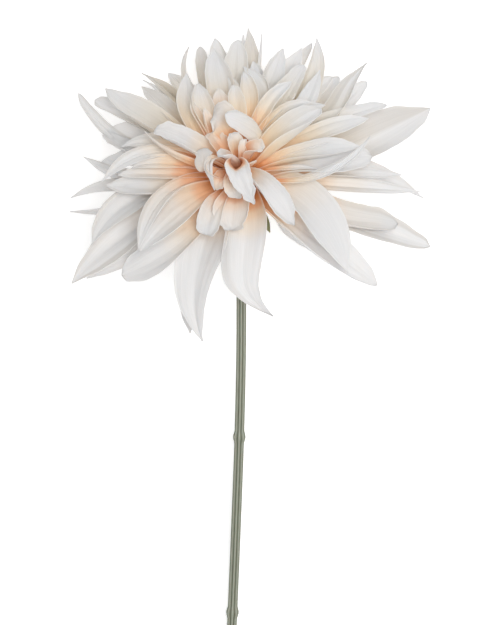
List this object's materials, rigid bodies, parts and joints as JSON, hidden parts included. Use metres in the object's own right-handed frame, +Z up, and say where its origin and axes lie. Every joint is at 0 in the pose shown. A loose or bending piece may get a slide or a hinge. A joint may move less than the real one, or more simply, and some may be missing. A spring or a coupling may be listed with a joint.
{
  "type": "dahlia flower",
  "caption": "Large loose-petalled cream dahlia bloom on a cut ribbed green stem, lying down on its back petals and the end of its stem.",
  "frame": {"origin": "middle of the part's own box, on the surface that it lies on", "axes": "+Z up from the surface, +Y along the length from the stem's cut end to the bloom, the bloom facing half up and half along +Y, +X to the right"},
  "size_m": [0.2211, 0.4092, 0.1176],
  "materials": {
    "petals": "matt, slightly translucent petal",
    "stem": "matt grey-green plant stem"
  },
  "bodies": {
    "root": {"bloom": "petals", "stem_and_calyx": "stem"}
  },
  "joints": []
}
